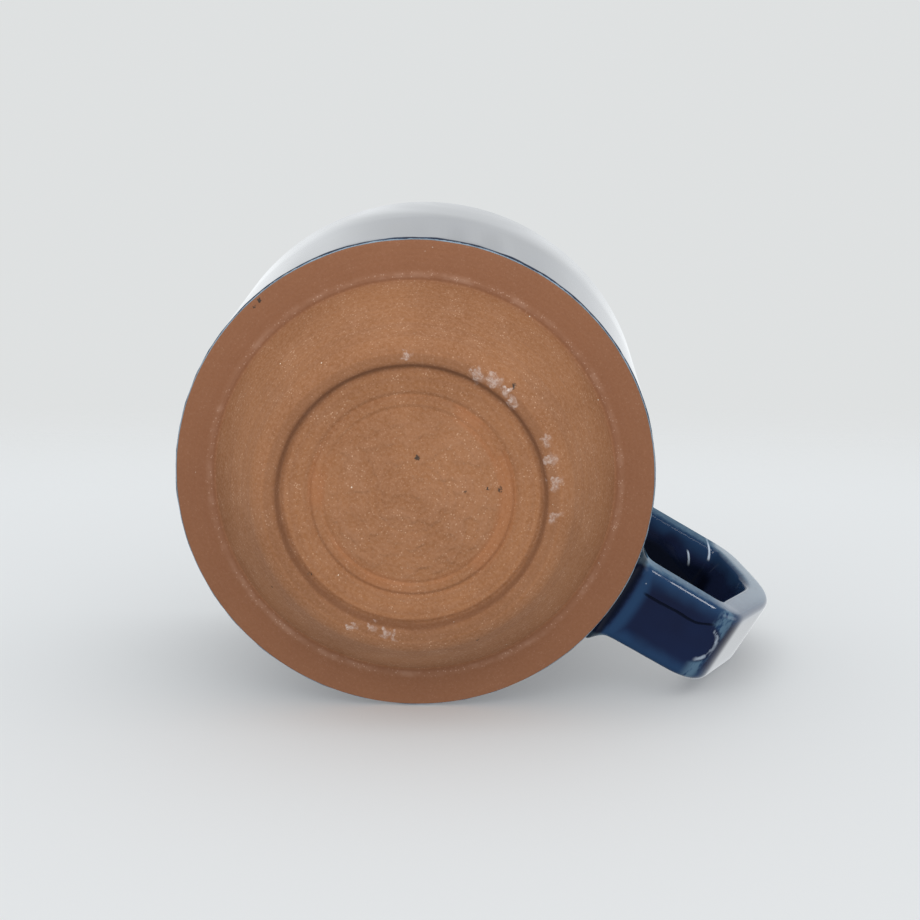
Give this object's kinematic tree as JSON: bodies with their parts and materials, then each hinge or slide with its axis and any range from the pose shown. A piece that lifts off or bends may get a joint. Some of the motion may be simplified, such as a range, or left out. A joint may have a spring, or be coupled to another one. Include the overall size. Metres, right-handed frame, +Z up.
{
  "type": "shaving mug",
  "caption": "Round stoneware shaving mug with a strap handle, a tapered bare clay foot and a glossy dark blue glaze inside and out.",
  "frame": {"origin": "middle of the foot ring, on the plane that the mug stands on", "axes": "+Z up through the mouth, +X through the handle, +Y across it"},
  "size_m": [0.1244, 0.0908, 0.075],
  "materials": {
    "clay": "unglazed fired stoneware, fine grog",
    "luting_clay": "fired slip and clay coil",
    "blue_glaze": "glossy dark blue glaze",
    "liner_glaze": "glossy dark blue glaze"
  },
  "bodies": {
    "root": {"clay_body": "clay", "handle_strap": "clay", "lower_handle_joint": "luting_clay", "upper_handle_joint": "luting_clay", "outside_glaze": "blue_glaze", "handle_glaze": "blue_glaze", "inside_glaze": "liner_glaze"}
  },
  "joints": []
}
